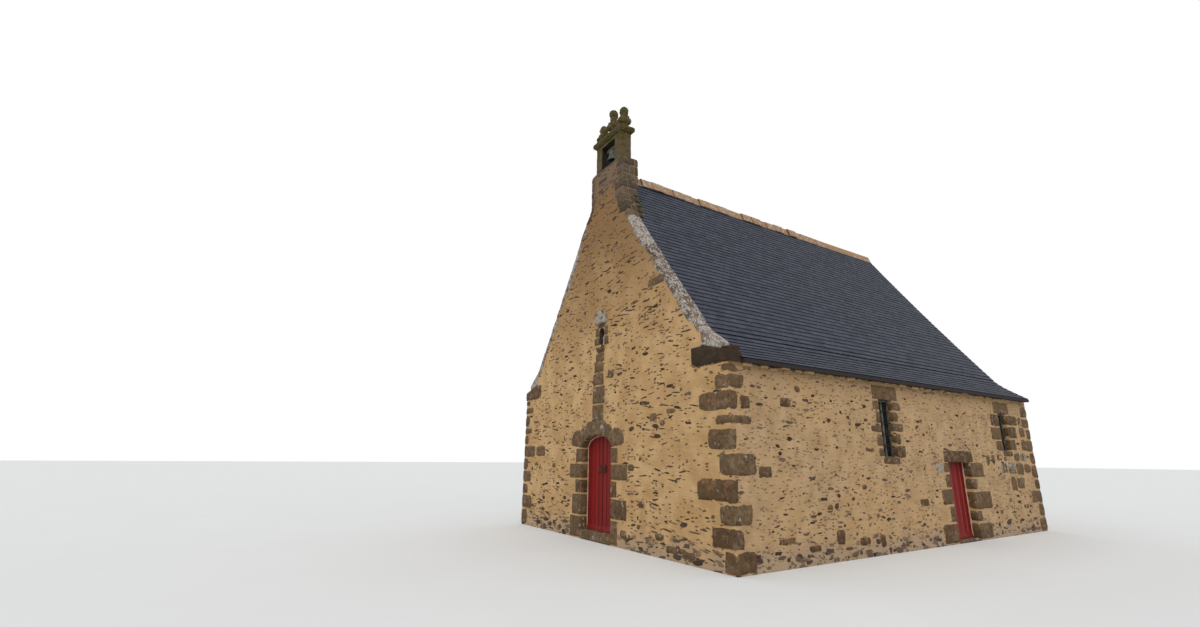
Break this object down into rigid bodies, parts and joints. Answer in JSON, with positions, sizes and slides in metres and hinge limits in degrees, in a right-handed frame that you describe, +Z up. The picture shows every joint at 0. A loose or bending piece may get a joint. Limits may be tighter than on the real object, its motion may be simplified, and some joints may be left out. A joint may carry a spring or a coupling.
{
  "type": "small chapel",
  "caption": "Small rural chapel with rendered rubble walls, steep flared slate roof, front gable with bell-cote and niche, arched front door, side door and narrow windows.",
  "frame": {"origin": "centre of the flat base, at the lowest ground that the walls reach", "axes": "+Z up, +Y from the front gable to the rear gable, +X towards the wall with the side door"},
  "size_m": [8.67, 11.94, 11.05],
  "materials": {
    "wall": "lime render over rubble",
    "floor": "worn flags",
    "granite": "dressed granite",
    "mossy_stone": "dressed stone with moss",
    "coping": "stone with pale lichen",
    "slate": "slates",
    "ridge_tile": "clay ridge tiles bedded in mortar",
    "frame_paint": "weathered paint",
    "glass": "dull glass",
    "door_paint": "dark red paint",
    "iron": "dull",
    "bronze": "grey green patina",
    "headstock": "weathered oak"
  },
  "bodies": {
    "building": {"front_wall_left": "wall", "front_wall_right": "wall", "front_wall_over_door": "wall", "front_gable": "wall", "right_wall_front": "wall", "right_wall_over_door": "wall", "right_wall_rear": "wall", "left_wall_front": "wall", "left_wall_rear": "wall", "rear_wall": "wall", "floor": "floor", "door_sills": "granite", "front_door_arch": "granite", "front_door_jambs": "granite", "side_door_lintel": "granite", "side_door_jambs": "granite", "window_dressings": "granite", "kneelers": "granite", "niche_dressings": "granite", "niche_figure": "granite", "cote_base": "mossy_stone", "cote_piers": "mossy_stone", "cote_lintel": "mossy_stone", "cote_cornice": "mossy_stone", "finials": "mossy_stone", "coping_right": "coping", "coping_left": "coping", "roof_right": "slate", "roof_left": "slate", "ridge_cap": "ridge_tile", "window_frames": "frame_paint", "window_panes": "glass", "hinge_pintles": "iron"},
    "front_leaf_left": {"front_leaf_left": "door_paint", "front_left_straps": "iron", "front_lock_keeper": "door_paint"},
    "front_leaf_right": {"front_leaf_right": "door_paint", "front_right_straps": "iron", "front_lock_case": "door_paint"},
    "side_leaf": {"side_leaf": "door_paint", "side_straps": "iron", "side_lock_case": "door_paint"},
    "bell": {"bell": "bronze", "bell_headstock": "headstock", "bell_clapper": "iron"}
  },
  "joints": [
    {"name": "front_left_hinge", "type": "hinge", "parent": "building", "child": "front_leaf_left", "pos_m": [-0.867, -5.6407, 1.2], "axis": [0, 0, 1], "range_deg": [0, 90]},
    {"name": "front_right_hinge", "type": "hinge", "parent": "building", "child": "front_leaf_right", "pos_m": [0.487, -5.6407, 1.2], "axis": [0, 0, -1], "range_deg": [0, 90]},
    {"name": "side_hinge", "type": "hinge", "parent": "building", "child": "side_leaf", "pos_m": [3.9657, 2.172, 1], "axis": [0, 0, -1], "range_deg": [0, 90]},
    {"name": "bell_swing", "type": "hinge", "parent": "building", "child": "bell", "pos_m": [0.15, -5.7, 9.87], "axis": [1, 0, 0], "range_deg": [-30, 30]}
  ]
}
